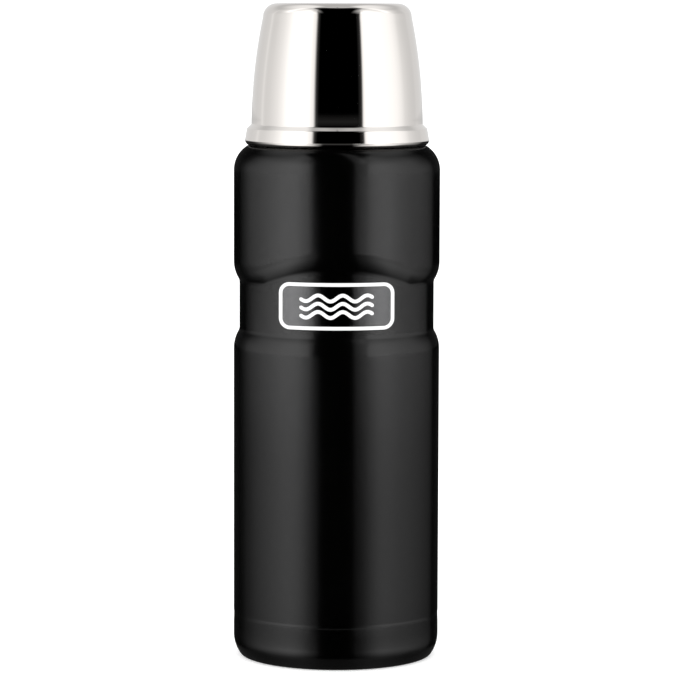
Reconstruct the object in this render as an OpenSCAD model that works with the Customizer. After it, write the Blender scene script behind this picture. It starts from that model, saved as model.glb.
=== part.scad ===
// Vacuum flask with a screw-in pouring stopper and a screw-on drinking cup.
// Millimetres, +Z up. The origin is the centre of the base, on the surface that it stands on.
// The front of the flask, where the badge is, faces -Y. Every thread is right-handed.

/* [Flask body] */
// Diameter of the two bands of the body
body_d = 74; // [73:0.5:76]
// Diameter of the waist between the bands
waist_d = 69.9; // [69.2:0.1:70.4]
// Radius that rounds the bands' ends and the edge of the base
edge_r = 12; // [11:0.5:13]
// Height of the weld seam between the shell and the base cup
seam_z = 15.5; // [12:0.5:24]
// Height at which the lower band starts to round in to the waist
lower_band_top_z = 111.5; // [100:0.5:114]
// Height at which the upper band starts to round in to the waist
upper_band_low_z = 142.8; // [141:0.2:144]
// Height at which the upper band starts to round in to the neck
shoulder_z = 175.5; // [174:0.1:175.5]
// Radius of the shoulder
shoulder_r = 10.2; // [9:0.1:10.3]
// Thickness of the outer shell and the base cup
shell_wall = 0.6; // [0.5:0.1:0.8]

/* [Front arch] */
// Height of the top of the arch over the badge
arch_top_z = 141.9; // [140:0.1:144]
// Radius of the arch
arch_r = 60; // [50:1:70]

/* [Badge] */
// Width of the badge, straight across
badge_w = 41; // [30:1:46]
// Height of the badge
badge_h = 17; // [10:0.5:17]
// Height of the middle of the badge
badge_z = 129.3; // [128:0.1:130]
// Thickness of the badge
badge_t = 0.3; // [0.2:0.1:0.5]

/* [Neck and threads] */
// Outer diameter of the neck, without its thread
neck_d = 51; // [50.6:0.1:51]
// Inner diameter of the neck, without its thread
mouth_d = 45; // [44.8:0.1:45]
// Height of the lip of the neck
lip_z = 208; // [207.8:0.1:208.2]
// Rise of every thread in one turn, shared by its two ridges
lead = 10; // [9:0.5:10]
// How far a ridge stands out of its wall
ridge_h = 1.1; // [0.8:0.1:1.1]
// Running gap between the threads
thread_gap = 0.3; // [0.25:0.05:0.35]

/* [Inner vessel] */
// Inner diameter of the vessel
vessel_d = 62; // [56:1:63]
// Height of the vessel's floor
floor_z = 12.5; // [11:0.5:20]
// Thickness of the inner vessel
vessel_wall = 0.5; // [0.4:0.1:0.6]

/* [Drinking cup] */
// Height of the top of the cup over the surface that the flask stands on
total_h = 235; // [234:0.5:237]
// Height of the cup's rim
rim_z = 184.4; // [184.4:0.1:184.8]
// Diameter of the rim
rim_d = 66; // [65.8:0.1:66.4]
// Diameter of the cup's wall just over the rim
cup_d = 61.5; // [61:0.1:62]
// Diameter of the cup's wall under the rounded corner of its top
cup_top_d = 53.3; // [52.6:0.1:54]
// Thickness of the cup's steel
cup_wall = 0.6; // [0.5:0.1:0.6]

/* [Stopper] */
// Diameter of the knob
knob_d = 48; // [46:0.5:48]
// Height of the top of the knob
knob_top_z = 222.5; // [220:0.5:223]
// Flutes around the knob
flutes = 24; // [16:1:30]

/* [Hidden] */
$fn = 96;

body_r = body_d / 2;
waist_r = waist_d / 2;
neck_r = neck_d / 2;
mouth_r = mouth_d / 2;
vessel_r = vessel_d / 2;
rim_r = rim_d / 2;
cup_r = cup_d / 2;
cup_top_r = cup_top_d / 2;
knob_r = knob_d / 2;

// Outer shell and base cup
edge_c = body_r - edge_r;             // radius of the circle of centres of the edge roundings
neck_fillet = body_r - shoulder_r - neck_r;
waist_mid_z = (lower_band_top_z + upper_band_low_z) / 2;
seam_chamfer = 0.35;
base_edge_z = 7.6;
foot_in_r = 27.5;
recess_r = 26.5;
recess_z = 2;
dimple_r = 4;
dimple_z = 3.2;
vent_r = 1;
disc_t = 0.7;
base_floor_z = recess_z + shell_wall;
getter_x = 14;
getter_r = 4;
getter_h = 2.4;

// Lip and gasket seat of the inner vessel
lip_t = 0.6;
shell_top_z = lip_z - lip_t;
vessel_shoulder_z = 160;
vessel_shoulder_r = 12;
vessel_shoulder_a = 50;
throat_r = 20;
seat_z = 184.5;
vessel_joint_z = 22;
vessel_corner_r = 8;

// Threads: the fixed ridges are on the neck, and the moving ones are on the stopper and the cup
ridge_base_w = 2.6;
ridge_crest_w = 1.2;
ridge_step_a = 6;
ridge_z = 190;                        // height of the middle of a fixed ridge where it starts
ridge_seat = 2;                       // a tightened ridge's middle is this far under a fixed one's
ridge_sink = 0.3;                     // how far a ridge is sunk into its wall

// Stopper
plug_r = mouth_r - ridge_h - thread_gap;
plug_in_r = 18.6;
plug_low_z = 187.9;
plug_collar_r = 20.4;
plug_top_z = 214;
knob_low_z = lip_z + 0.4;
knob_ceiling_z = knob_top_z - 3;
stem_r = 18;
stem_low_z = 184.4;
base_flange_r = 19.2;
base_flange_low_z = 182.2;
core_low_z = 190.4;
channel_w = 13;

// Cup
corner_r = 5;
cup_low_z = 192.2;                    // where the wall starts over the rim's step
cup_high_z = total_h - corner_r;
cup_bow_r = 205;                      // the wall bows out a little on its way up
cup_chord = [cup_r - cup_top_r, cup_high_z - cup_low_z];
cup_bow_low = atan(cup_chord[0] / cup_chord[1]) - asin(norm(cup_chord) / 2 / cup_bow_r);
cup_bow_high = atan(cup_chord[0] / cup_chord[1]) + asin(norm(cup_chord) / 2 / cup_bow_r);
rim_edge_h = 0.9;
rim_draft = 0.6;
rim_draft_a = 8;
step_a = 47;                          // how far the step between rim and wall leans back
step_fillet = 0.7;
rim_corner_r = 0.8;
rim_corner_cr = rim_r - rim_draft - rim_corner_r;
step_low_r = rim_corner_cr + rim_corner_r * cos(step_a);
step_high_r = cup_r + step_fillet * (1 - cos(step_a));
step_high_z = cup_low_z - step_fillet * sin(step_a);
rim_corner_cz = step_high_z - (step_low_r - step_high_r) / tan(step_a) - rim_corner_r * sin(step_a);
ring_bore_r = neck_r + ridge_h + thread_gap;
ring_low_z = 186.1;
ring_top_z = 200;
ring_r = 29.3;
ring_flange_r = 31.8;
liner_wall = 0.5;
liner_mouth_r = 27.4;
liner_top_r = 24.6;
liner_corner_z = 225.5;
liner_corner_r = 4.5;

function arc(cx, cz, r, from, to, steps = 8) =
    [for (i = [0:steps]) let (a = from + (to - from) * i / steps) [cx + r * cos(a), cz + r * sin(a)]];
function reverse(list) = [for (i = [len(list) - 1:-1:0]) list[i]];

// A sheet between an outer outline and an inner one, turned about the axis. Both run the same way.
module turned_sheet(outer, inner) {
    rotate_extrude()
        polygon(concat(outer, reverse(inner)));
}

// ---- threads ----

// Cross-section of a ridge as [radius, height] points, counter-clockwise, whichever way it faces
function ridge_section(root_r, crest_r) =
    let (b = ridge_base_w / 2, c = ridge_crest_w / 2)
    crest_r > root_r
        ? [[root_r, -b], [crest_r, -c], [crest_r, c], [root_r, b]]
        : [[crest_r, -c], [root_r, -b], [root_r, b], [crest_r, c]];

// A ridge that climbs counter-clockwise from one angle to another. It is at height z at angle 0,
// and its crest fades into the wall at both ends.
module ridge(wall_r, crest_r, z, from, to) {
    outward = crest_r > wall_r ? 1 : -1;
    root_r = wall_r - outward * ridge_sink;
    steps = round((to - from) / ridge_step_a);
    fade_steps = 4;
    points = [
        for (i = [0:steps])
            let (
                a = from + (to - from) * i / steps,
                fade = min(1, (i + 1) / fade_steps, (steps - i + 1) / fade_steps),
                crest = wall_r + (crest_r - wall_r) * fade
            )
            for (p = ridge_section(root_r, crest))
                [p[0] * cos(a), p[0] * sin(a), z + lead * a / 360 + p[1]]
    ];
    last = 4 * steps;
    faces = concat(
        [[2, 1, 0], [3, 2, 0], [last, last + 1, last + 2], [last, last + 2, last + 3]],
        [
            for (i = [0:steps - 1], k = [0:3])
                let (a = 4 * i, b = 4 * i + 4, n = (k + 1) % 4)
                each [[a + k, a + n, b + n], [a + k, b + n, b + k]]
        ]
    );
    polyhedron(points, faces, convexity = 6);
}

// Two ridges, opposite each other. Each has one stretch for every [from, to] span of angles.
module thread(wall_r, crest_r, z, spans = [[0, 324]]) {
    for (start = [0, 180], span = spans)
        rotate(start)
            ridge(wall_r, crest_r, z, span[0], span[1]);
}

// ---- flask ----

// Angle round an edge rounding at which it meets the waist, for a surface sunk t under the outer one
function crease_angle(t) = acos((waist_r - t - edge_c) / (edge_r - t));

// The shell's outline from the seam to the top of the neck, sunk t under the outer surface
function shell_outline(t) = concat(
    arc(edge_c, lower_band_top_z, edge_r - t, 0, crease_angle(t)),
    arc(edge_c, upper_band_low_z, edge_r - t, -crease_angle(t), 0),
    arc(body_r - shoulder_r, shoulder_z, shoulder_r - t, 0, 90, 12),
    arc(neck_r + neck_fillet, shoulder_z + shoulder_r + neck_fillet, neck_fillet + t, 270, 180, 4)
);

// The part of a band that the arch over the badge takes away, down to the waist
module arch_recess(t) {
    graze = 0.01;
    intersection() {
        translate([0, 0, arch_top_z - arch_r])
            rotate([90, 0, 0])
                cylinder(r = arch_r + t, h = body_d);
        translate([0, 0, waist_mid_z])
            difference() {
                cylinder(r = body_d, h = arch_top_z);
                translate([0, 0, -1])
                    cylinder(r = waist_r + graze - t, h = arch_top_z + 2);
            }
    }
}

module outer_shell() {
    color("#1b1b1d") {
        difference() {
            difference() {
                rotate_extrude()
                    polygon(concat(
                        [[0, seam_z], [body_r - seam_chamfer, seam_z], [body_r, seam_z + seam_chamfer]],
                        shell_outline(0),
                        [[neck_r, shell_top_z], [0, shell_top_z]]
                    ));
                arch_recess(0);
            }
            difference() {
                rotate_extrude()
                    polygon(concat(
                        [[0, seam_z - 1], [body_r - shell_wall, seam_z - 1]],
                        shell_outline(shell_wall),
                        [[neck_r - shell_wall, shell_top_z + 1], [0, shell_top_z + 1]]
                    ));
                arch_recess(shell_wall);
            }
        }
        thread(neck_r, neck_r + ridge_h, ridge_z);
    }
}

// The pressed bottom of the outer shell, with a foot ring, a recess and a dimple with the vent hole
module base_cup() {
    t = shell_wall;
    color("#1b1b1d")
        turned_sheet(
            concat(
                [[body_r - seam_chamfer, seam_z], [body_r, seam_z - seam_chamfer]],
                arc(edge_c, base_edge_z, edge_r, 0, -asin(base_edge_z / edge_r)),
                [[foot_in_r, 0], [recess_r, recess_z], [dimple_r + 0.6, recess_z]],
                [[dimple_r, dimple_z], [vent_r, dimple_z]]
            ),
            concat(
                [[body_r - t, seam_z]],
                arc(edge_c, base_edge_z, edge_r - t, 0, -asin((base_edge_z - t) / (edge_r - t))),
                [[foot_in_r + 0.3, t], [recess_r - 0.3, recess_z + t], [dimple_r + 1.1, recess_z + t]],
                [[dimple_r + 0.4, dimple_z + t], [vent_r, dimple_z + t]]
            )
        );
}

// Cover plate glued into the recess, over the vent
module base_disc() {
    disc_r = recess_r - 0.7;
    bead_r = 20;
    color("#9a9a9c")
        rotate_extrude()
            polygon([
                [0, recess_z - disc_t], [bead_r - 1.5, recess_z - disc_t], [bead_r, recess_z - disc_t - 0.4],
                [bead_r + 1.5, recess_z - disc_t], [disc_r, recess_z - disc_t], [disc_r, recess_z],
                [0, recess_z]
            ]);
}

// Drop of sealing glass that closes the vent after the air is drawn out
module vacuum_seal() {
    color("#3c4650")
        rotate_extrude()
            polygon([
                [0, dimple_z - 1], [2.4, dimple_z - 0.8], [3.4, dimple_z - 0.3], [3.5, dimple_z],
                [vent_r - 0.1, dimple_z], [vent_r - 0.1, dimple_z + shell_wall], [0, dimple_z + shell_wall]
            ]);
}

// Pill of gas-binding alloy that keeps the vacuum
module getter() {
    color("#6a6660")
        translate([getter_x, 0, base_floor_z])
            cylinder(r = getter_r, h = getter_h);
}

// Spot-welded strap that holds the pill down
module getter_clip() {
    strap_t = 0.3;
    strap_w = 3.6;
    leg_x = getter_r + 0.3;
    foot_x = leg_x + 2.6;
    strap_z = getter_h + 0.1;
    half = [
        [foot_x, 0], [foot_x, strap_t], [leg_x + strap_t, strap_t], [leg_x + strap_t, strap_z + strap_t]
    ];
    inner_half = [[leg_x, strap_z], [leg_x, 0]];
    color("#b5b5b8")
        translate([getter_x, strap_w / 2, base_floor_z])
            rotate([90, 0, 0])
                linear_extrude(strap_w)
                    polygon(concat(
                        half,
                        [for (p = reverse(half)) [-p[0], p[1]]],
                        [for (p = reverse(inner_half)) [-p[0], p[1]]],
                        inner_half
                    ));
}

// Outline of the vessel from its bottom weld up to the gasket's seat, t outside its inner surface
function vessel_outline(t) =
    let (
        cx = vessel_r - vessel_shoulder_r,
        r = vessel_shoulder_r + t,
        a = vessel_shoulder_a,
        end_r = cx + r * cos(a),
        end_z = vessel_shoulder_z + r * sin(a)
    )
    concat(
        [[vessel_r + t, vessel_joint_z]],
        arc(cx, vessel_shoulder_z, r, 0, a),
        [[throat_r + t, end_z + (end_r - throat_r - t) / tan(a)]]
    );

module inner_vessel() {
    t = vessel_wall;
    color("#b9b6b0") {
        turned_sheet(
            concat(
                vessel_outline(t),
                [[throat_r + t, seat_z - 1.2], [mouth_r + t, seat_z - 0.4]],
                [[mouth_r + t, shell_top_z], [neck_r, shell_top_z], [neck_r, lip_z - 0.3]]
            ),
            concat(
                vessel_outline(0),
                [[throat_r, seat_z - 0.3], [throat_r + 0.3, seat_z], [mouth_r, seat_z]],
                [[mouth_r, lip_z - 0.3], [mouth_r + 0.3, lip_z], [neck_r - 0.3, lip_z]]
            )
        );
        thread(mouth_r, mouth_r - ridge_h, ridge_z);
    }
}

// Pressed bottom of the inner vessel
module inner_base() {
    t = vessel_wall;
    cx = vessel_r + t - vessel_corner_r;
    cz = floor_z - t + vessel_corner_r;
    color("#b9b6b0")
        turned_sheet(
            concat(
                [[0, floor_z - t]],
                arc(cx, cz, vessel_corner_r, -90, 0),
                [[vessel_r + t, vessel_joint_z]]
            ),
            concat(
                [[0, floor_z]],
                arc(cx, cz, vessel_corner_r - t, -90, 0),
                [[vessel_r, vessel_joint_z]]
            )
        );
}

// Metal foil round the vessel, against radiated heat
module foil_wrap() {
    foil_t = 0.2;
    foil_r = vessel_r + vessel_wall + 0.1;
    color("#c9a27e")
        rotate_extrude()
            translate([foil_r, vessel_joint_z + 2])
                square([foil_t, vessel_shoulder_z - vessel_joint_z - 4]);
}

// Foil under the vessel's floor
module foil_base() {
    color("#c9a27e")
        translate([0, 0, floor_z - vessel_wall - 0.4])
            cylinder(r = vessel_r - vessel_corner_r, h = 0.2);
}

// Thin oblong plate bent round the front of the waist
module badge() {
    corner = 4;
    standoff = 0.03;
    color("#303033")
        intersection() {
            translate([0, 0, badge_z])
                rotate([90, 0, 0])
                    linear_extrude(body_d)
                        union() {
                            square([badge_w - 2 * corner, badge_h], center = true);
                            square([badge_w, badge_h - 2 * corner], center = true);
                            for (x = [-1, 1], y = [-1, 1])
                                translate([x * (badge_w / 2 - corner), y * (badge_h / 2 - corner)])
                                    circle(corner);
                        }
            translate([0, 0, badge_z - badge_h])
                difference() {
                    cylinder(r = waist_r + standoff + badge_t, h = 2 * badge_h);
                    translate([0, 0, -1])
                        cylinder(r = waist_r + standoff, h = 2 * badge_h + 2);
                }
        }
}

// ---- stopper ----

// Fluted grip that covers the top of the plug
module stopper_knob() {
    flute_r = 1.6;
    flute_depth = 0.6;
    round_r = 2;
    dish_r = 18;
    dish_z = knob_top_z - 0.8;
    flute_low_z = knob_low_z + 1.6;
    flute_high_z = knob_top_z - round_r - 0.5;
    color("#202022")
        difference() {
            rotate_extrude()
                polygon(concat(
                    [[plug_collar_r, knob_low_z], [knob_r - 0.8, knob_low_z], [knob_r, knob_low_z + 0.8]],
                    arc(knob_r - round_r, knob_top_z - round_r, round_r, 0, 90, 4),
                    [[dish_r, knob_top_z], [dish_r - 1, dish_z], [0, dish_z], [0, knob_ceiling_z]],
                    [[plug_in_r, knob_ceiling_z], [plug_in_r, plug_top_z], [plug_collar_r, plug_top_z]]
                ));
            for (i = [0:flutes - 1])
                rotate(360 * (i + 0.5) / flutes)
                    translate([knob_r + flute_r - flute_depth, 0, flute_low_z])
                        cylinder(r = flute_r, h = flute_high_z - flute_low_z, $fn = 32);
        }
}

// Threaded tube that screws into the neck. Two channels through its thread let the drink out.
module stopper_plug() {
    channel_depth = 1;
    channel_h = knob_low_z - plug_low_z - 0.6;
    color("#202022") {
        difference() {
            turned_sheet(
                [
                    [plug_r - 0.6, plug_low_z], [plug_r, plug_low_z + 0.6], [plug_r, knob_low_z],
                    [plug_collar_r, knob_low_z], [plug_collar_r, plug_top_z]
                ],
                [[plug_in_r, plug_low_z], [plug_in_r, plug_top_z]]
            );
            for (side = [90, 270])
                rotate(side)
                    translate([plug_r - channel_depth, -channel_w / 2, plug_low_z - 1])
                        cube([4, channel_w, channel_h + 1]);
        }
        thread(plug_r, plug_r + ridge_h, ridge_z - ridge_seat, [[114, 246], [294, 378]]);
    }
}

// Foam that fills the stopper
module stopper_core() {
    color("#e8e4d8")
        translate([0, 0, core_low_z])
            cylinder(r = plug_in_r - 0.2, h = knob_ceiling_z - core_low_z - 0.2);
}

// Bottom cap welded into the plug. Its stem and flange hold the gasket.
module stopper_base() {
    color("#202022")
        rotate_extrude()
            polygon([
                [0, base_flange_low_z], [base_flange_r - 0.8, base_flange_low_z],
                [base_flange_r, base_flange_low_z + 0.8], [base_flange_r, stem_low_z], [stem_r, stem_low_z],
                [stem_r, plug_low_z], [plug_in_r, plug_low_z], [plug_in_r, core_low_z], [0, core_low_z]
            ]);
}

// Silicone ring that the stopper presses on to the vessel's seat
module stopper_gasket() {
    seal_gap = 0.15;
    low_z = seat_z + seal_gap;
    color("#8e8e90")
        rotate_extrude()
            polygon([
                [stem_r + 0.1, low_z + 0.1], [plug_r - 0.9, low_z], [plug_r - 0.1, low_z + 0.5],
                [plug_r - 0.1, low_z + 1.4], [plug_r - 1, low_z + 2], [plug_r - 1, plug_low_z - 0.1],
                [stem_r + 0.1, plug_low_z - 0.1]
            ]);
}

// ---- cup ----

// Outline of the cup from its rim to the middle of its top, sunk t under the outer surface
function cup_outline(t) = concat(
    [[rim_r - t, rim_z + rim_edge_h]],
    arc(rim_corner_cr, rim_corner_cz, rim_corner_r - t, rim_draft_a, step_a, 4),
    arc(cup_r + step_fillet, cup_low_z, step_fillet + t, 180 + step_a, 180, 4),
    arc(
        cup_r - cup_bow_r * cos(cup_bow_low), cup_low_z - cup_bow_r * sin(cup_bow_low),
        cup_bow_r - t, cup_bow_low, cup_bow_high
    ),
    arc(cup_top_r - corner_r, cup_high_z, corner_r - t, cup_bow_high, 90),
    [[0, total_h - t]]
);

module cup_shell() {
    color("#cfcfd2")
        turned_sheet(
            concat([[rim_r - cup_wall, rim_z], [rim_r - 0.4, rim_z]], cup_outline(0)),
            concat([[rim_r - cup_wall, rim_z]], cup_outline(cup_wall))
        );
}

function liner_outline(t) = concat(
    [[liner_mouth_r + t, ring_top_z + 0.1]],
    arc(liner_top_r - liner_corner_r, liner_corner_z, liner_corner_r + t, 6, 90),
    [[0, liner_corner_z + liner_corner_r + t]]
);

// Inner wall of the cup, which the drink is poured into
module cup_liner() {
    color("#b9b6b0")
        turned_sheet(liner_outline(liner_wall), liner_outline(0));
}

// Plastic ring inside the rim, with the thread that holds the cup on the neck
module cup_thread_ring() {
    color("#202022") {
        turned_sheet(
            [
                [ring_flange_r - 0.4, ring_low_z - 0.4], [ring_flange_r, ring_low_z],
                [ring_flange_r, ring_low_z + 2], [ring_r, ring_low_z + 4.4], [ring_r, ring_top_z]
            ],
            [
                [ring_bore_r + 2.6, ring_low_z - 0.4], [ring_bore_r + 2.2, ring_low_z],
                [ring_bore_r, ring_low_z], [ring_bore_r, ring_top_z]
            ]
        );
        thread(ring_bore_r, ring_bore_r - ridge_h, ridge_z - ridge_seat);
    }
}

outer_shell();
base_cup();
base_disc();
vacuum_seal();
getter();
getter_clip();
inner_vessel();
inner_base();
foil_wrap();
foil_base();
badge();
stopper_knob();
stopper_plug();
stopper_core();
stopper_base();
stopper_gasket();
cup_shell();
cup_liner();
cup_thread_ring();
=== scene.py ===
"""Looks of the vacuum flask: smooth shell, base, cup and badge over the CAD frame, with studio light.

Lengths in the outlines are in millimetres, as (radius, height) from the flask's axis and its base.
"""

import math

import bpy
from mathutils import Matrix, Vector


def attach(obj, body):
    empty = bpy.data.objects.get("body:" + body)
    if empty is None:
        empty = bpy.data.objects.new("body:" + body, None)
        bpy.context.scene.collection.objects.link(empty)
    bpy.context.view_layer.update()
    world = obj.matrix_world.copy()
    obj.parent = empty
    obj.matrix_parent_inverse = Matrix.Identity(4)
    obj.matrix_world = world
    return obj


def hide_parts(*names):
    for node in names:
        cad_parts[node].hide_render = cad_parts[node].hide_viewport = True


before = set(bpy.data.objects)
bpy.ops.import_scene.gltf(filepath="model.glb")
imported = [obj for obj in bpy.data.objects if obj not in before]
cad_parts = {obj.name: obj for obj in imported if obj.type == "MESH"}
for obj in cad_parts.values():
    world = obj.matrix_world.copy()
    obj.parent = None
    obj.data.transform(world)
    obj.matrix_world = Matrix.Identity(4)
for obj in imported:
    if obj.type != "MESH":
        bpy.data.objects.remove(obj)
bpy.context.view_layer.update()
MM = 0.001
DEGREES = math.degrees(1)

# body: two bands of one radius with a waist between them, rounded by circles centred at EDGE_C
BODY_R, WAIST_R = 37.0, 34.95
EDGE_R = 12.0
EDGE_C = BODY_R - EDGE_R
LOW_BAND_Z, HIGH_BAND_Z = 111.5, 142.8
SHOULDER_Z, SHOULDER_R = 175.5, 10.2
NECK_R, NECK_FILLET = 25.5, 1.3
PAINT_TOP_Z = SHOULDER_Z + SHOULDER_R + NECK_FILLET
SHELL_TOP_Z = 207.4
WALL = 0.6
ARCH_TOP_Z, ARCH_R = 141.9, 60.0
# base: the weld seam and how far it is drawn in, the foot ring, and the recess with its dimple and vent
SEAM_Z, SEAM_IN = 15.5, 0.12
BASE_EDGE_Z, FOOT_R = 7.6, 27.5
RECESS_R, RECESS_Z = 26.5, 2.0
DIMPLE_R, DIMPLE_Z, VENT_R = 4.0, 3.2, 1.0
# neck thread
LEAD, RIDGE_Z, RIDGE_H = 10.0, 190.0, 1.1
RIDGE_SWEEP, RIDGE_RUN_OUT = 324, 22
# cup
RIM_Z, RIM_R, CUP_R, CUP_TOP_R, TOP_Z = 184.4, 33.0, 30.75, 26.65, 235.0
CUP_LOW_Z, CUP_BOW_R, CUP_CORNER = 192.2, 205.0, 5.0
STEP_A, STEP_FILLET, RIM_CORNER, RIM_DRAFT, RIM_DRAFT_A = 47.0, 0.7, 0.8, 0.6, 8
LIP_R = 1.8
# badge
BADGE_Z, BADGE_W, BADGE_H, BADGE_CORNER, BADGE_BEVEL = 129.3, 41.0, 17.0, 4.0, 0.12
BADGE_LOW_R, BADGE_HIGH_R = 34.98, 35.28
PRINT_LOW_R, PRINT_HIGH_R = BADGE_HIGH_R - 0.03, BADGE_HIGH_R + 0.04
BORDER_OUT, BORDER_IN = 0.2, 1.45
WAVE_L, WAVE_W, WAVE_H, WAVE_PITCH, WAVE_TURNS = 26.0, 1.25, 1.05, 2.9, 3
# studio: radius of the light domes and the height of their middle
DOME_R, DOME_Z = 3000, 210


# ---- outlines ----


def arc(cx, cz, r, start, end, steps):
    """Points on a circle, from one angle to another in degrees."""
    turns = [math.radians(start + (end - start) * i / steps) for i in range(steps + 1)]
    return [(cx + r * math.cos(a), cz + r * math.sin(a)) for a in turns]


def soften(line, r, z, reach, steps=6):
    """Rounds the corner of a line of points nearest to (r, z), starting that far on each side of it."""
    at = min(range(1, len(line) - 1), key=lambda i: math.dist(line[i][:2], (r, z)))

    def walk(step):
        left, i = reach, at
        while True:
            a, b = line[i], line[i + step]
            d = math.dist(a[:2], b[:2])
            if d > left:
                return i + step, [p + (q - p) * left / d for p, q in zip(a, b)]
            left, i = left - d, i + step

    before, p = walk(-1)
    after, q = walk(1)
    curve = []
    for i in range(steps + 1):
        t = i / steps
        weights = ((1 - t) ** 2, 2 * t * (1 - t), t * t)
        curve.append(tuple(sum(w * v for w, v in zip(weights, c)) for c in zip(p, line[at], q)))
    return line[: before + 1] + curve + line[after:]


def shell_line(t):
    """The shell from the seam to the top of the paint, sunk t under its surface, as (radius, height, lift).

    lift is the share of the arch's rise that a point takes at the front.
    """
    turn = math.degrees(math.acos((WAIST_R - t - EDGE_C) / (EDGE_R - t)))
    low = [(BODY_R - SEAM_IN, SEAM_Z), (BODY_R - 0.07, SEAM_Z + 0.3), (BODY_R - 0.01, SEAM_Z + 0.65)]
    low = [(r - t, z) for r, z in low] + [(BODY_R - t, SEAM_Z + 1), (BODY_R - t, LOW_BAND_Z - 1)]
    low += arc(EDGE_C, LOW_BAND_Z, EDGE_R - t, 0, turn, 24)
    high = arc(EDGE_C, HIGH_BAND_Z, EDGE_R - t, -turn, 0, 24) + [(BODY_R - t, HIGH_BAND_Z + 1)]
    top = [(BODY_R - t, SHOULDER_Z - 1)]
    top += arc(BODY_R - SHOULDER_R, SHOULDER_Z, SHOULDER_R - t, 0, 90, 36)
    top += arc(NECK_R + NECK_FILLET, PAINT_TOP_Z, NECK_FILLET + t, 270, 180, 8)[1:]
    line = [(r, z, 0.0) for r, z in low] + [(r, z, 1.0) for r, z in high] + [(r, z, 0.0) for r, z in top]
    if t == 0:
        line = soften(line, WAIST_R, high[0][1], 0.9)
        line = soften(line, WAIST_R, low[-1][1], 0.9)
    return line


def arch_rise(angle):
    """How far the upper band's edge rises at an angle from the front, with a soft start."""
    if math.cos(angle) <= 0:
        return 0.0
    crease_z = HIGH_BAND_Z - math.sqrt(EDGE_R**2 - (WAIST_R - EDGE_C) ** 2)
    x = WAIST_R * math.sin(angle)
    over = ARCH_TOP_Z - ARCH_R + math.sqrt(ARCH_R**2 - x * x) - crease_z
    soft = 0.3
    return over if over > 20 * soft else soft * math.log1p(math.exp(over / soft))


def base_line():
    """The base from the weld seam down under its foot ring and in to the vent, and back along its inside."""
    t = WALL
    turn = math.degrees(math.asin(BASE_EDGE_Z / EDGE_R))
    turn_in = math.degrees(math.asin((BASE_EDGE_Z - t) / (EDGE_R - t)))
    outer = [(BODY_R - SEAM_IN, SEAM_Z), (BODY_R - 0.105, SEAM_Z - 0.35), (BODY_R - 0.07, SEAM_Z - 1.3)]
    outer += [(BODY_R, SEAM_Z - 3.6), (BODY_R, BASE_EDGE_Z + 1)]
    outer += arc(EDGE_C, BASE_EDGE_Z, EDGE_R, 0, -turn, 24)
    outer += [(FOOT_R, 0), (RECESS_R, RECESS_Z), (DIMPLE_R + 0.6, RECESS_Z)]
    outer += [(DIMPLE_R, DIMPLE_Z), (VENT_R, DIMPLE_Z)]
    inner = [(BODY_R - t, SEAM_Z)] + arc(EDGE_C, BASE_EDGE_Z, EDGE_R - t, 0, -turn_in, 12)
    inner += [(FOOT_R + 0.3, t), (RECESS_R - 0.3, RECESS_Z + t), (DIMPLE_R + 1.1, RECESS_Z + t)]
    inner += [(DIMPLE_R + 0.4, DIMPLE_Z + t), (VENT_R, DIMPLE_Z + t)]
    outer = soften(outer, EDGE_C + math.sqrt(EDGE_R**2 - BASE_EDGE_Z**2), 0, 0.8)
    outer = soften(outer, FOOT_R, 0, 0.5)
    outer = soften(outer, RECESS_R, RECESS_Z, 0.4)
    return outer + inner[::-1]


def cup_line(t):
    """The cup from its rim to the middle of its top, sunk t under its surface."""
    chord = (CUP_R - CUP_TOP_R, TOP_Z - CUP_CORNER - CUP_LOW_Z)
    lean = math.degrees(math.atan2(*chord))
    half = math.degrees(math.asin(math.hypot(*chord) / 2 / CUP_BOW_R))
    low, high = lean - half, lean + half
    bow_x = CUP_R - CUP_BOW_R * math.cos(math.radians(low))
    bow_z = CUP_LOW_Z - CUP_BOW_R * math.sin(math.radians(low))
    step = math.radians(STEP_A)
    corner_x = RIM_R - RIM_DRAFT - RIM_CORNER
    step_low = corner_x + RIM_CORNER * math.cos(step)
    step_high = CUP_R + STEP_FILLET * (1 - math.cos(step))
    corner_z = CUP_LOW_Z - (STEP_FILLET + RIM_CORNER) * math.sin(step)
    corner_z -= (step_low - step_high) / math.tan(step)
    line = arc(corner_x, corner_z, RIM_CORNER - t, RIM_DRAFT_A, STEP_A, 10)
    line += arc(CUP_R + STEP_FILLET, CUP_LOW_Z, STEP_FILLET + t, 180 + STEP_A, 180, 8)
    line += arc(bow_x, bow_z, CUP_BOW_R - t, low, high, 24)[1:]
    line += arc(CUP_TOP_R - CUP_CORNER, TOP_Z - CUP_CORNER, CUP_CORNER - t, high, 90, 28)[1:]
    return line + [(CUP_TOP_R - CUP_CORNER - 0.6, TOP_Z - t), (0, TOP_Z - t)]


def lip_line():
    """The rolled lip under the cup's rim, from the inside to the outer surface."""
    middle = RIM_R - LIP_R
    line = [(middle, RIM_Z + 0.2)] + arc(middle, RIM_Z + LIP_R, LIP_R, -85, 5, 18)
    return line + [(RIM_R - 0.07, RIM_Z + 2.5)]


# ---- meshes ----


def add_mesh(name, points, faces, smooth_under=32):
    """A new object from points in millimetres, smooth where faces meet at less than that many degrees."""
    mesh = bpy.data.meshes.new(name)
    mesh.from_pydata([Vector(p) * MM for p in points], [], faces)
    mesh.validate()
    mesh.shade_smooth()
    mesh.set_sharp_from_angle(angle=math.radians(smooth_under))
    obj = bpy.data.objects.new(name, mesh)
    bpy.context.scene.collection.objects.link(obj)
    return obj


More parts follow.
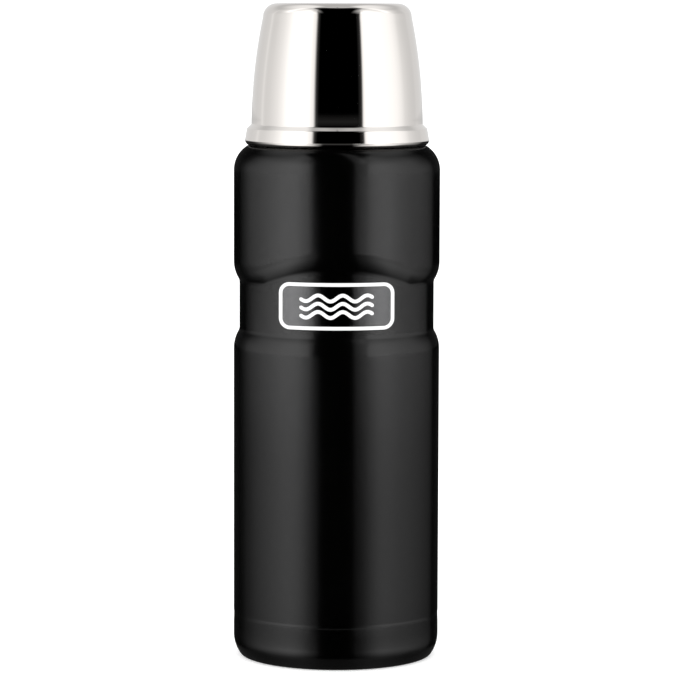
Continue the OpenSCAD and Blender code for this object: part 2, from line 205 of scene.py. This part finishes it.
def revolve(name, outline, steps=240, shape=None):
    """A closed solid of revolution. shape(r, z, lift, angle) may move each point; angle 0 is the front."""
    points, rings = [], []
    for p in outline:
        r, z, lift = (*p, 0.0)[:3]
        if r < 1e-6:
            rings.append([len(points)])
            points.append((0, 0, z))
            continue
        rings.append(list(range(len(points), len(points) + steps)))
        for i in range(steps):
            a = 2 * math.pi * i / steps
            rr, zz = shape(r, z, lift, a) if shape else (r, z)
            points.append((rr * math.sin(a), -rr * math.cos(a), zz))
    faces = []
    for low, high in zip(rings, rings[1:] + rings[:1]):
        for i in range(steps):
            j = (i + 1) % steps
            if len(low) > 1 and len(high) > 1:
                faces.append((low[i], low[j], high[j], high[i]))
            elif len(low) > 1:
                faces.append((low[i], low[j], high[0]))
            elif len(high) > 1:
                faces.append((low[0], high[j], high[i]))
    return add_mesh(name, points, faces)


def bent(x, z, r):
    """A point of the badge, straight across and up, laid on the round front at a radius."""
    return (x, -math.sqrt(r * r - x * x), BADGE_Z + z)


def oblong(inset, side_steps=48, end_steps=12, corner_steps=10):
    """The badge's outline, that far inside its edge, as (x, z) points counter-clockwise from the front."""
    w, h, c = BADGE_W / 2 - inset, BADGE_H / 2 - inset, BADGE_CORNER - inset

    def side(start, end):
        (x0, z0), (x1, z1) = start, end
        steps = side_steps if abs(x1 - x0) > abs(z1 - z0) else end_steps
        return [(x0 + (x1 - x0) * i / steps, z0 + (z1 - z0) * i / steps) for i in range(1, steps)]

    line = []
    for sx, sz, start in ((1, -1, -90), (1, 1, 0), (-1, 1, 90), (-1, -1, 180)):
        corner = arc(sx * (w - c), sz * (h - c), c, start, start + 90, corner_steps)
        if line:
            line += side(line[-1], corner[0])
        line += corner
    return line + side(line[-1], line[0])


def bent_plate(name, low_r, high_r, bevel):
    """The badge's plate. Its faces are columns of quads, and its edge is bevelled."""
    columns, rows = 96, 12
    points, faces, rims = [], [], []

    def half_height(x, inset):
        w, h, c = BADGE_W / 2 - inset, BADGE_H / 2 - inset, BADGE_CORNER - inset
        over = max(0.0, abs(x) - (w - c))
        return h - c + math.sqrt(max(0.0, c * c - over * over))

    for inset, r in ((0, low_r), (0, high_r - bevel), (bevel, high_r)):
        start = len(points)
        w = BADGE_W / 2 - inset
        for i in range(columns + 1):
            x = -w * math.cos(math.pi * i / columns)
            for j in range(rows + 1):
                points.append(bent(x, half_height(x, inset) * (2 * j / rows - 1), r))
        grid = [[start + i * (rows + 1) + j for j in range(rows + 1)] for i in range(columns + 1)]
        rim = [grid[i][0] for i in range(columns)] + [grid[columns][j] for j in range(rows)]
        rim += [grid[i][rows] for i in range(columns, 0, -1)] + [grid[0][j] for j in range(rows, 0, -1)]
        rims.append((rim, grid))
    for (rim, _), (upper, _) in zip(rims, rims[1:]):
        for i in range(len(rim)):
            j = (i + 1) % len(rim)
            faces.append((rim[i], rim[j], upper[j], upper[i]))
    for (_, grid), top in ((rims[0], False), (rims[2], True)):
        for i in range(columns):
            for j in range(rows):
                quad = (grid[i][j], grid[i + 1][j], grid[i + 1][j + 1], grid[i][j + 1])
                faces.append(quad if top else quad[::-1])
    keep = sorted({i for f in faces for i in f})
    number = {old: new for new, old in enumerate(keep)}
    return add_mesh(name, [points[i] for i in keep], [[number[i] for i in f] for f in faces])


def raised_band(name, left, right, low_r, high_r, closed):
    """A raised line of print on the badge between two lines of (x, z) points."""
    count = len(left)
    points = [bent(x, z, r) for r in (low_r, high_r) for line in (left, right) for x, z in line]
    left_low, right_low, left_high, right_high = (range(k * count, (k + 1) * count) for k in range(4))
    faces = []
    for i in range(count if closed else count - 1):
        j = (i + 1) % count
        faces.append((left_high[i], right_high[i], right_high[j], left_high[j]))
        faces.append((left_low[j], right_low[j], right_low[i], left_low[i]))
        faces.append((right_low[i], right_low[j], right_high[j], right_high[i]))
        faces.append((left_low[j], left_low[i], left_high[i], left_high[j]))
    if not closed:
        for i, flip in ((0, False), (count - 1, True)):
            end = (left_low[i], right_low[i], right_high[i], left_high[i])
            faces.append(end[::-1] if flip else end)
    return add_mesh(name, points, faces, smooth_under=50)


def wave(z_mid, length, width):
    """The two edges of one wavy stroke with tapered ends."""
    steps, left, right = 160, [], []
    k = 2 * math.pi * WAVE_TURNS / length
    for i in range(steps + 1):
        x = length * (i / steps - 0.5)
        z, slope = WAVE_H * math.sin(k * x), WAVE_H * k * math.cos(k * x)
        end = min(i, steps - i) / 4
        half = width / 2 * math.sqrt(max(0.0, 1 - max(0.0, 1 - end) ** 2)) + 0.02
        norm = math.hypot(1, slope)
        left.append((x - half * -slope / norm, z_mid + z - half / norm))
        right.append((x + half * -slope / norm, z_mid + z + half / norm))
    return right, left


def neck_shape(r, z, lift, angle):
    """The neck's wall with its two rolled ridges, where lift marks the outer surface."""
    out = 0.0
    for start in (0, 180):
        # the ridges climb counter-clockwise from +X, and the front is at -90 degrees
        a = (math.degrees(angle) - 90 - start) % 360
        if a <= RIDGE_SWEEP:
            d = abs(z - (RIDGE_Z + LEAD * a / 360))
            fade = min(1.0, a / RIDGE_RUN_OUT, (RIDGE_SWEEP - a) / RIDGE_RUN_OUT)
            side = min(1.0, max(0.0, (1.3 - d) / 0.8))
            out = max(out, RIDGE_H * fade * side * side * (3 - 2 * side))
    return r + lift * out, z


# ---- materials ----


class Graph:
    """Short names for building a node tree."""

    def __init__(self, tree):
        self.tree = tree
        tree.nodes.clear()

    def add(self, kind, **values):
        node = self.tree.nodes.new("ShaderNode" + kind)
        for key, value in values.items():
            setattr(node, key, value)
        return node

    def put(self, value, socket):
        if hasattr(value, "is_output"):
            self.tree.links.new(value, socket)
        else:
            socket.default_value = value

    def math(self, operation, *values):
        node = self.add("Math", operation=operation)
        for value, socket in zip(values, node.inputs):
            self.put(value, socket)
        return node.outputs[0]

    def scale(self, value, low, high, to_low=0.0, to_high=1.0, smooth=False):
        """A value from low to high, mapped from to_low to to_high and held there past its ends."""
        node = self.add("MapRange", clamp=True, interpolation_type="SMOOTHSTEP" if smooth else "LINEAR")
        names = ("Value", "From Min", "From Max", "To Min", "To Max")
        for v, name in zip((value, low, high, to_low, to_high), names):
            self.put(v, node.inputs[name])
        return node.outputs["Result"]

    def mix(self, factor, a, b):
        node = self.add("Mix", data_type="FLOAT")
        for v, name in ((factor, "Factor"), (a, "A"), (b, "B")):
            self.put(v, node.inputs[name])
        return node.outputs["Result"]

    def parts(self, vector):
        """The X, Y and Z of a vector."""
        node = self.add("SeparateXYZ")
        self.put(vector, node.inputs["Vector"])
        return [node.outputs[axis] for axis in "XYZ"]

    def turn(self, x, y):
        """Degrees round the flask's axis from the front, positive towards +X."""
        return self.math("MULTIPLY", self.math("ARCTAN2", x, self.math("MULTIPLY", y, -1.0)), DEGREES)

    def slant(self, value):
        """The angle in degrees with that sine."""
        return self.math("MULTIPLY", self.math("ARCSINE", value), DEGREES)

    def curve(self, value, stops, top=2.0):
        """A line through (value, level) stops, for levels up to top."""
        low, high = stops[0][0], stops[-1][0]
        ramp = self.add("ValToRGB")
        self.put(self.scale(value, low, high), ramp.inputs["Fac"])
        parts = ramp.color_ramp.elements
        while len(parts) < len(stops):
            parts.new(0.5)
        for part, (at, level) in zip(parts, stops):
            part.position = (at - low) / (high - low)
            part.color = (level / top, level / top, level / top, 1)
        return self.math("MULTIPLY", ramp.outputs["Color"], top)

    def place(self, scale=(1, 1, 1)):
        """Position on the object, stretched."""
        node = self.add("Mapping")
        self.put(self.add("TexCoord").outputs["Object"], node.inputs["Vector"])
        node.inputs["Scale"].default_value = scale
        return node.outputs["Vector"]

    def noise(self, vector, scale, detail=3.0, rough=0.5):
        node = self.add("TexNoise")
        self.put(vector, node.inputs["Vector"])
        node.inputs["Scale"].default_value = scale
        node.inputs["Detail"].default_value = detail
        node.inputs["Roughness"].default_value = rough
        return node.outputs["Fac"]

    def bump(self, height, distance, strength=1.0):
        node = self.add("Bump")
        self.put(height, node.inputs["Height"])
        node.inputs["Distance"].default_value = distance
        node.inputs["Strength"].default_value = strength
        return node.outputs["Normal"]

    def emit(self, strength, kind="Emission"):
        """White light of that strength."""
        node = self.add(kind)
        node.inputs["Color"].default_value = (1, 1, 1, 1)
        self.put(strength, node.inputs["Strength"])
        return node.outputs[kind]

    def clear(self, color=(1, 1, 1, 1)):
        """A surface that only tints what is behind it."""
        node = self.add("BsdfTransparent")
        self.put(color, node.inputs["Color"])
        return node.outputs["BSDF"]

    def join(self, a, b, factor=None):
        """Two shaders, added, or mixed by a factor."""
        node = self.add("AddShader" if factor is None else "MixShader")
        if factor is not None:
            self.put(factor, node.inputs["Fac"])
        for shader, socket in zip((a, b), node.inputs[-2:]):
            self.put(shader, socket)
        return node.outputs["Shader"]

    def end(self, shader, kind="OutputMaterial"):
        self.put(shader, self.add(kind).inputs["Surface"])


def surface(color, roughness, metallic, normal, graph, **more):
    """One principled surface. Each further name is a socket of it."""
    shader = graph.add("BsdfPrincipled")
    graph.put(color if hasattr(color, "is_output") else (*color, 1), shader.inputs["Base Color"])
    graph.put(roughness, shader.inputs["Roughness"])
    graph.put(metallic, shader.inputs["Metallic"])
    if normal is not None:
        graph.put(normal, shader.inputs["Normal"])
    for key, value in more.items():
        graph.put(value, shader.inputs[key.replace("_", " ")])
    return shader.outputs["BSDF"]


def finish_of(color, roughness, metallic, normal, graph, **more):
    """Ends a material's graph with one principled surface."""
    graph.end(surface(color, roughness, metallic, normal, graph, **more))


def new_material(name):
    mat = bpy.data.materials.new(name)
    mat.use_nodes = True
    return mat, Graph(mat.node_tree)


def tint(g, value, dark, light):
    """A colour between two, by a value from 0 to 1."""
    node = g.add("Mix", data_type="RGBA")
    g.put(value, node.inputs["Factor"])
    node.inputs["A"].default_value = (*dark, 1)
    node.inputs["B"].default_value = (*light, 1)
    return node.outputs["Result"]


def body_paint():
    mat, g = new_material("body_paint")
    peel = g.bump(g.noise(g.place(), 900, 2), 0.000004)
    cloud = g.scale(g.noise(g.place(), 60, 4), 0.3, 0.7, 0.135, 0.16)
    # painted highlight: the paint is a touch paler in a thin line along the weld seam, for the light the
    # seam catches
    _, _, height = g.parts(g.place())
    off = g.math("ABSOLUTE", g.math("SUBTRACT", height, (SEAM_Z - 0.3) * MM))
    line = g.scale(off, 0.1 * MM, 0.35 * MM, 1.0, 0.0)
    color = tint(g, line, (0.0003, 0.0003, 0.00033), (0.0045, 0.0045, 0.0045))
    finish_of(color, cloud, 0.0, peel, g, IOR=1.5)
    return mat


def cup_steel():
    mat, g = new_material("cup_steel")
    rings = g.noise(g.place((8, 8, 900)), 3, 3)
    rough = g.scale(g.noise(g.place(), 40, 4), 0.3, 0.7, 0.02, 0.035)
    # painted shade: the flat top's colour and edge tint are darkened against the wall's, to dim the light it
    # reflects
    _, _, height = g.parts(g.place())
    top = g.scale(height, (TOP_Z - 0.06) * MM, (TOP_Z - 0.02) * MM)
    color = tint(g, top, (0.70, 0.672, 0.645), (0.36, 0.346, 0.332))
    edge = tint(g, top, (1, 1, 1), (0.5, 0.5, 0.5))
    finish_of(color, rough, 1.0, g.bump(rings, 0.0000006), g, Specular_Tint=edge)
    return mat


def vessel_steel():
    mat, g = new_material("vessel_steel")
    rings = g.noise(g.place((6, 6, 2600)), 1, 4, 0.6)
    color = tint(g, g.noise(g.place(), 30, 4), (0.52, 0.50, 0.48), (0.62, 0.60, 0.58))
    finish_of(color, g.scale(rings, 0.3, 0.7, 0.2, 0.34), 1.0, g.bump(rings, 0.000004), g)
    return mat


def base_steel():
    mat, g = new_material("base_steel")
    grain = g.noise(g.place((60, 2500, 60)), 1, 4, 0.6)
    color = tint(g, grain, (0.42, 0.41, 0.40), (0.56, 0.55, 0.54))
    finish_of(color, g.scale(grain, 0.3, 0.7, 0.26, 0.4), 1.0, g.bump(grain, 0.000006), g)
    return mat


def badge_plate():
    mat, g = new_material("badge_plate")
    grain = g.noise(g.place((1500, 1500, 40)), 1, 3)
    finish_of((0.11, 0.11, 0.112), g.scale(grain, 0.3, 0.7, 0.12, 0.17), 1.0, g.bump(grain, 0.0000015), g)
    return mat


def badge_print():
    mat, g = new_material("badge_print")
    grain = g.noise(g.place(), 2500, 3)
    color = tint(g, grain, (0.82, 0.82, 0.82), (0.90, 0.90, 0.90))
    finish_of(color, 0.45, 0.0, g.bump(grain, 0.000003), g)
    return mat


def black_plastic():
    mat, g = new_material("black_plastic")
    grain = g.noise(g.place(), 2200, 3, 0.6)
    rough = g.scale(grain, 0.3, 0.7, 0.42, 0.55)
    finish_of((0.012, 0.012, 0.0125), rough, 0.0, g.bump(grain, 0.00002), g)
    return mat


def silicone():
    mat, g = new_material("silicone")
    cloud = g.noise(g.place(), 120, 4)
    color = tint(g, cloud, (0.25, 0.25, 0.26), (0.31, 0.31, 0.32))
    finish_of(color, g.scale(cloud, 0.3, 0.7, 0.5, 0.62), 0.0, g.bump(cloud, 0.00001), g)
    return mat


def foam():
    mat, g = new_material("foam")
    cells = g.add("TexVoronoi")
    g.put(g.place(), cells.inputs["Vector"])
    cells.inputs["Scale"].default_value = 1400
    color = tint(g, cells.outputs["Distance"], (0.55, 0.50, 0.38), (0.82, 0.78, 0.66))
    finish_of(color, 0.9, 0.0, g.bump(cells.outputs["Distance"], 0.0002), g)
    return mat


def foil():
    mat, g = new_material("foil")
    folds = g.add("TexVoronoi", feature="DISTANCE_TO_EDGE")
    g.put(g.place(), folds.inputs["Vector"])
    folds.inputs["Scale"].default_value = 160
    crumple = g.bump(folds.outputs["Distance"], 0.0008, 0.7)
    finish_of((0.80, 0.52, 0.40), g.scale(g.noise(g.place(), 300), 0.3, 0.7, 0.16, 0.3), 1.0, crumple, g)
    return mat


def getter_alloy():
    mat, g = new_material("getter_alloy")
    grain = g.noise(g.place(), 3000, 4, 0.7)
    color = tint(g, grain, (0.10, 0.095, 0.09), (0.26, 0.25, 0.24))
    finish_of(color, 0.6, 1.0, g.bump(grain, 0.00005), g)
    return mat


def sealing_glass():
    mat, g = new_material("sealing_glass")
    swirl = g.noise(g.place(), 500, 3)
    color = tint(g, swirl, (0.03, 0.045, 0.06), (0.06, 0.08, 0.10))
    finish_of(color, g.scale(swirl, 0.3, 0.7, 0.04, 0.12), 0.0, g.bump(swirl, 0.00002), g, IOR=1.6)
    return mat


# ---- pieces ----

paint, cup_metal, vessel, steel = body_paint(), cup_steel(), vessel_steel(), base_steel()
plate_metal, white, plastic, rubber = badge_plate(), badge_print(), black_plastic(), silicone()


def show(obj, material, body, slot, *nodes):
    """Gives a mesh its material, the body that it rides on, and the CAD nodes that it stands for."""
    obj.data.materials.append(material)
    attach(obj, body)
    if nodes:
        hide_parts(*nodes)


outer, inner = shell_line(0), shell_line(WALL)
shell = revolve("shell_paint", outer + inner[::-1], 360, lambda r, z, lift, a: (r, z + lift * arch_rise(a)))
show(shell, paint, "flask", "body_paint", "outer_shell")

neck_z = [PAINT_TOP_Z + (SHELL_TOP_Z - PAINT_TOP_Z) * i / 90 for i in range(91)]
neck_outer = [(NECK_R, z, 1.0) for z in neck_z]
neck_inner = [(NECK_R - WALL, SHELL_TOP_Z, 0.0), (NECK_R - WALL, PAINT_TOP_Z, 0.0)]
neck = revolve("shell_neck", neck_outer + neck_inner, 240, neck_shape)
show(neck, vessel, "flask", "vessel_steel", "outer_shell")

base = revolve("base_shell", base_line())
show(base, paint, "flask", "body_paint", "base_cup")

lip_inside = [(RIM_R - WALL - 0.5, RIM_Z + 2.5), (RIM_R - LIP_R - 0.1, RIM_Z + WALL)]
cup = revolve("cup_outer", lip_line() + cup_line(0) + cup_line(WALL)[::-1] + lip_inside)
show(cup, cup_metal, "cup", "cup_steel", "cup_shell")

plate = bent_plate("badge_plate", BADGE_LOW_R, BADGE_HIGH_R, BADGE_BEVEL)
show(plate, plate_metal, "flask", "badge", "badge")
border = raised_band("badge_border", oblong(BORDER_IN), oblong(BORDER_OUT), PRINT_LOW_R, PRINT_HIGH_R, True)
show(border, white, "flask", "badge", "badge")
for number, z in enumerate((WAVE_PITCH, 0.0, -WAVE_PITCH), 1):
    left, right = wave(z, WAVE_L, WAVE_W)
    stroke = raised_band(f"badge_wave_{number}", left, right, PRINT_LOW_R, PRINT_HIGH_R, False)
    show(stroke, white, "flask", "badge", "badge")

LOOKS = {
    "base_disc": steel,
    "vacuum_seal": sealing_glass(),
    "getter": getter_alloy(),
    "getter_clip": steel,
    "inner_vessel": vessel,
    "inner_base": vessel,
    "foil_wrap": foil(),
    "stopper_knob": plastic,
    "stopper_plug": plastic,
    "stopper_core": foam(),
    "stopper_base": plastic,
    "stopper_gasket": rubber,
    "cup_liner": vessel,
    "cup_thread_ring": plastic,
}
LOOKS["foil_base"] = LOOKS["foil_wrap"]
for node, look in LOOKS.items():
    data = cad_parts[node].data
    data.materials.clear()
    data.materials.append(look)

# ---- studio ----


def only(obj, **kinds):
    """Shows a stage object to the named kinds of ray alone."""
    for kind in ("camera", "diffuse", "glossy", "transmission", "volume_scatter", "shadow"):
        setattr(obj, "visible_" + kind, kinds.get(kind, False))


def plane(name, size, z):
    points = [(x * size, y * size, z) for x, y in ((-1, -1), (1, -1), (1, 1), (-1, 1))]
    obj = add_mesh(name, points, [(0, 1, 2, 3)])
    return obj


def lay_floor():
    """A pale floor, clear from below so that the base can be seen."""
    floor = plane("floor", 8000, -0.1)
    only(floor, camera=True, diffuse=True, shadow=True)
    mat, g = new_material("floor")
    tone = tint(g, g.noise(g.place(), 6, 3), (0.88, 0.88, 0.88), (0.90, 0.90, 0.90))
    glow = {"Emission_Color": (1, 1, 1, 1), "Emission_Strength": 0.45}
    top_side = surface(tone, 0.9, 0.0, None, g, Specular_IOR_Level=0.0, **glow)
    g.end(g.join(top_side, g.clear(), g.add("NewGeometry").outputs["Backfacing"]))
    floor.data.materials.append(mat)


def lay_reflection():
    """What the flask sees in the table top: the studio, dimmer the nearer it is."""
    shade = plane("table_reflection", 8000, -0.15)
    only(shade, glossy=True)
    mat, g = new_material("table_reflection")
    x, y, _ = g.parts(g.place())
    away = g.math("SQRT", g.math("ADD", g.math("POWER", x, 2.0), g.math("POWER", y, 2.0)))
    decades = g.math("LOGARITHM", g.math("DIVIDE", away, 0.03), 10.0)
    dim = g.curve(
        decades,
        [
            (0, 0.02), (0.12, 0.03), (0.14, 0.09), (0.16, 0.24), (0.18, 0.29), (0.2, 0.38), (0.24, 0.46),
            (0.31, 0.58), (0.38, 0.62), (0.46, 0.51), (0.58, 0.48), (0.66, 0.52), (0.77, 0.54), (1.0, 0.58),
            (1.17, 0.61), (1.32, 0.65), (1.45, 0.8), (1.55, 0.9), (1.8, 1),
        ],
        top=1.0,
    )
    # right under the base it is clear, for views from below
    dim = g.math("MAXIMUM", dim, g.scale(away, 0.030, 0.0305, 1.0, 0.0))
    # close to the foot it glows a little, most between the front and the sides
    glow = [(0, 0.08), (0.15, 0.09), (0.35, 0.16), (0.5, 0.14), (0.75, 0.07), (1, 0.04)]
    near = g.curve(g.math("DIVIDE", g.math("ABSOLUTE", x), away), glow, top=1.0)
    near = g.math("MULTIPLY", near, g.scale(decades, 0.135, 0.155, 1.0, 0.0))
    g.end(g.join(g.clear(dim), g.emit(near)))
    mat.cycles.emission_sampling = "NONE"
    shade.data.materials.append(mat)


def dome(name, low, high, receiver):
    """An open dome round the flask, between two elevations, whose light reaches one object alone.

    Returns its graph, the X and Y of a way to it, and that way's turn from the front and its elevation.
    """
    steps, rings = 96, 40
    points = []
    for k in range(1, rings + 1):
        e = math.radians(low + (high - low) * k / rings)
        flat, z = DOME_R * math.cos(e), DOME_Z + DOME_R * math.sin(e)
        for i in range(steps):
            a = 2 * math.pi * i / steps
            points.append((flat * math.sin(a), -flat * math.cos(a), z))
    faces = []
    for k in range(rings - 1):
        for i in range(steps):
            j = (i + 1) % steps
            faces.append((k * steps + i, k * steps + j, (k + 1) * steps + j, (k + 1) * steps + i))
    card = add_mesh(name, points, faces + [list(range((rings - 1) * steps, rings * steps))])
    only(card, glossy=True)
    mat, g = new_material(name)
    mat.cycles.emission_sampling = "NONE"
    card.data.materials.append(mat)
    lit = bpy.data.collections.new("lit_by_" + name)
    lit.objects.link(receiver)
    card.light_linking.receiver_collection = lit
    x, y, z = g.parts(g.place())
    rise = g.slant(g.math("DIVIDE", g.math("SUBTRACT", z, DOME_Z * MM), DOME_R * MM))
    return g, g.math("DIVIDE", x, DOME_R * MM), g.math("DIVIDE", y, DOME_R * MM), g.turn(x, y), rise


def past_first(g, dimmed):
    """1 for what a surface reflects straight to the eye, and dimmed for reflections of reflections."""
    return g.scale(g.add("LightPath").outputs["Glossy Depth"], 1.4, 1.6, 1.0, dimmed)


def shine(g, level):
    """Ends a dome's graph with light of that level, through which the studio still shows."""
    g.end(g.join(g.emit(g.math("MULTIPLY", level, past_first(g, 0.3))), g.clear()))


def light_cup():
    """Light that reaches the cup alone: from the sides, from behind, from overhead and from below."""
    g, x, y, turn, rise = dome("cup_dome", -75, 89, cup)
    side = g.curve(
        turn,
        [
            (-180, 0.8), (-136, 0.82), (-128, 0.8), (-124, 0.75), (-120, 0.76), (-116, 0.56), (-112, 0.43),
            (-104, 0.27), (-96, 0.16), (-88, 0.05), (-80, 0), (64, 0), (72, 0.15), (80, 0.3), (88, 0.42),
            (96, 0.43), (104, 0.36), (112, 0.43), (120, 0.54), (128, 0.66), (136, 0.84), (180, 0.8),
        ],
        top=1.0,
    )
    side = g.math("MULTIPLY", side, g.scale(rise, -5.0, -1.0))
    back = g.scale(y, -0.08, 0.03, 0.0, 0.6, smooth=True)
    across = g.scale(g.math("ABSOLUTE", x), 0.4, 0.55, 0.0, 0.4, smooth=True)
    flank = g.math("MULTIPLY", across, g.scale(y, 0.2, 0.02))
    level = g.mix(g.scale(rise, 22.0, 40.0, smooth=True), side, g.math("ADD", back, flank))
    level = g.math("ADD", level, g.scale(rise, 76.0, 84.0, 0.0, 0.2, smooth=True))
    aside = g.math("ABSOLUTE", turn)
    below = g.math("MULTIPLY", g.scale(aside, 28.0, 38.0), g.scale(aside, 85.0, 105.0, 1.0, 0.0))
    below = g.math("MULTIPLY", below, g.scale(rise, -45.0, -15.0, 1.1, 0.0))
    level = g.math("ADD", level, below)
    # a faint sill in the black gap, just under the horizon
    sill = g.math("MULTIPLY", g.scale(aside, 26.0, 34.0, 0.06, 0.0), g.scale(rise, -4.0, 2.0, 1.0, 0.0))
    shine(g, g.math("ADD", level, g.math("MULTIPLY", sill, g.scale(rise, -40.0, -20.0))))


def light_shell():
    """Light that reaches the shell alone: its shoulder and low band see a narrower gap than the cup."""
    g, x, _, turn, rise = dome("shell_dome", -10, 89, shell)
    share = 0.62
    aside = g.math("MULTIPLY", g.slant(x), share)
    aside = g.math("ADD", aside, g.math("MULTIPLY", turn, 1 - share))
    left = g.curve(aside, [(-42, 0), (-34, 0.1), (-31, 0.3), (-28.5, 0.6), (-26, 0.35), (-24, 0)], top=1.0)
    left = g.math("MULTIPLY", left, g.scale(rise, 35.0, 48.0, 1.0, 0.0))
    right = g.curve(
        g.math("ADD", aside, g.scale(rise, 40.0, 70.0, 0.0, 7.0)),
        [(19, 0), (21, 0.35), (26, 0.45), (31, 0.7), (34, 0.45), (37, 0.12), (40, 0)],
        top=1.0,
    )
    right = g.math("MULTIPLY", right, g.scale(rise, 40.0, 70.0, 1.0, 0.6))
    front = g.scale(g.math("ABSOLUTE", turn), 90.0, 110.0, 1.0, 0.0)
    level = g.math("MULTIPLY", g.math("ADD", left, right), front)
    shine(g, g.math("MULTIPLY", level, g.scale(rise, -3.2, -2.4)))


# two tall softboxes with a black gap between them, as (turn from the front, level) stops,
# for ways that point up, level and down
BOXES_UP = [
    (-180, 0.03), (-138, 0.03), (-128, 0.1), (-112, 0.5), (-96, 0.9), (-80, 1.35), (-64, 1.8), (-52, 1.95),
    (-42, 1.9), (-37, 1.5), (-32, 1.25), (-30.5, 0.65), (-29, 0.05), (-25, 0), (28, 0), (33.5, 0.04),
    (35, 1.0), (36.5, 1.4), (41, 1.7), (52, 1.8), (64, 1.6), (72, 1.4), (88, 1.0), (104, 0.68), (120, 0.33),
    (128, 0.18), (137, 0.03), (180, 0.03),
]
BOXES_LEVEL = [
    (-180, 0), (-138, 0), (-128, 0.08), (-120, 0.2), (-112, 0.41), (-96, 0.76), (-80, 1.3), (-64, 1.84),
    (-54, 2.04), (-46, 1.97), (-40, 1.56), (-33, 1.32), (-28.5, 1.05), (-26, 0.25), (-21.5, 0.02), (-19, 0),
    (18, 0), (20, 0.25), (22, 0.55), (28, 1.02), (34, 1.3), (40, 1.46), (48, 1.85), (60, 1.79), (72, 1.22),
    (88, 0.78), (104, 0.53), (120, 0.27), (128, 0.16), (137, 0), (180, 0),
]
BOXES_DOWN = [
    (-180, 0.03), (-138, 0.02), (-128, 0.06), (-112, 0.3), (-96, 0.77), (-80, 1.26), (-64, 1.79), (-54, 2.0),
    (-46, 1.87), (-40, 1.6), (-34, 1.1), (-28, 0.62), (-22, 0.3), (-18, 0.02), (-16, 0), (19, 0), (21, 0.14),
    (28, 0.28), (34, 0.58), (40, 0.98), (48, 1.45), (56, 1.56), (64, 1.45), (72, 1.27), (88, 0.95),
    (104, 0.6), (120, 0.29), (128, 0.19), (137, 0.02), (180, 0.03),
]
# how the boxes' light changes with elevation
FADE = [
    (-90, 0.15), (-60, 0.4), (-55, 0.56), (-45, 0.9), (-35, 1.2), (-28, 1.4), (-19, 1.5), (-13, 1.2),
    (-10, 1), (30, 1), (42, 0.78), (50, 0.65), (60, 0.57), (90, 0.4),
]


def boxes_at(g, angle, rise):
    """The level of the boxes at a turn, blended by elevation."""
    level = g.curve(angle, BOXES_DOWN)
    for stops, low, high in ((BOXES_LEVEL, -7.5, -3.8), (BOXES_UP, -3.2, -2.4)):
        level = g.mix(g.scale(rise, low, high), level, g.curve(angle, stops))
    return level


def light_studio():
    """The world: softboxes for glossy rays, and an even white for all others."""
    world = bpy.data.worlds.new("studio")
    bpy.context.scene.world = world
    world.use_nodes = True
    world.cycles.sampling_method = "NONE"
    g = Graph(world.node_tree)
    x, y, z = g.parts(g.add("TexCoord").outputs["Generated"])
    turn, rise = g.turn(x, y), g.slant(z)
    # overhead the gap narrows less than its turn alone would say
    share = g.scale(rise, 60.0, 75.0, 0.38, 0.0)
    sideways = g.math("MULTIPLY", g.slant(x), g.math("SUBTRACT", 1.0, share))
    sideways = g.math("ADD", sideways, g.math("MULTIPLY", turn, share))
    boxes = g.math("MINIMUM", boxes_at(g, turn, rise), boxes_at(g, sideways, rise))
    boxes = g.math("MULTIPLY", boxes, g.curve(rise, FADE))
    # towards the back the boxes are dimmer high up and low down
    aside = g.math("ABSOLUTE", turn)
    high_up = g.math("MULTIPLY", g.scale(aside, 100.0, 125.0), g.scale(rise, 8.0, 22.0, 0.0, 0.35))
    low_down = g.math("MULTIPLY", g.scale(aside, 86.0, 100.0), g.scale(rise, -34.0, -22.0, 0.6, 0.0))
    for cut in (high_up, low_down):
        boxes = g.math("MULTIPLY", boxes, g.math("SUBTRACT", 1.0, cut))
    lamp = g.math("ADD", g.math("ABSOLUTE", x), g.scale(y, 0.0, 0.2, 0.0, 0.2))
    lamp = g.scale(lamp, 0.3, 0.45, 0.0, 0.62, smooth=True)
    lamp = g.math("MULTIPLY", lamp, g.scale(rise, 30.0, 60.0, smooth=True))
    boxes = g.math("MAXIMUM", boxes, lamp)
    # what the cup and the shoulder show each other under the rim stays dim
    boxes = g.math("MULTIPLY", boxes, past_first(g, 0.45))
    fill, studio = g.emit(1.25, "Background"), g.emit(boxes, "Background")
    g.end(g.join(fill, studio, g.add("LightPath").outputs["Is Glossy Ray"]), "OutputWorld")


def add_camera():
    """The view: from just over the height of the cup's top, tilted a little down."""
    camera = bpy.data.objects.new("camera", bpy.data.cameras.new("camera"))
    bpy.context.scene.collection.objects.link(camera)
    camera.location = (0, -1.25, 0.2385)
    camera.rotation_euler = (math.radians(90 - 5.624), math.radians(-0.16), math.radians(0.016))
    camera.data.lens = 186.39
    camera.data.sensor_width = 36
    camera.data.clip_start, camera.data.clip_end = 0.05, 30
    bpy.context.scene.camera = camera
    bpy.context.scene.view_settings.view_transform = "Standard"


lay_floor()
lay_reflection()
light_cup()
light_shell()
light_studio()
add_camera()
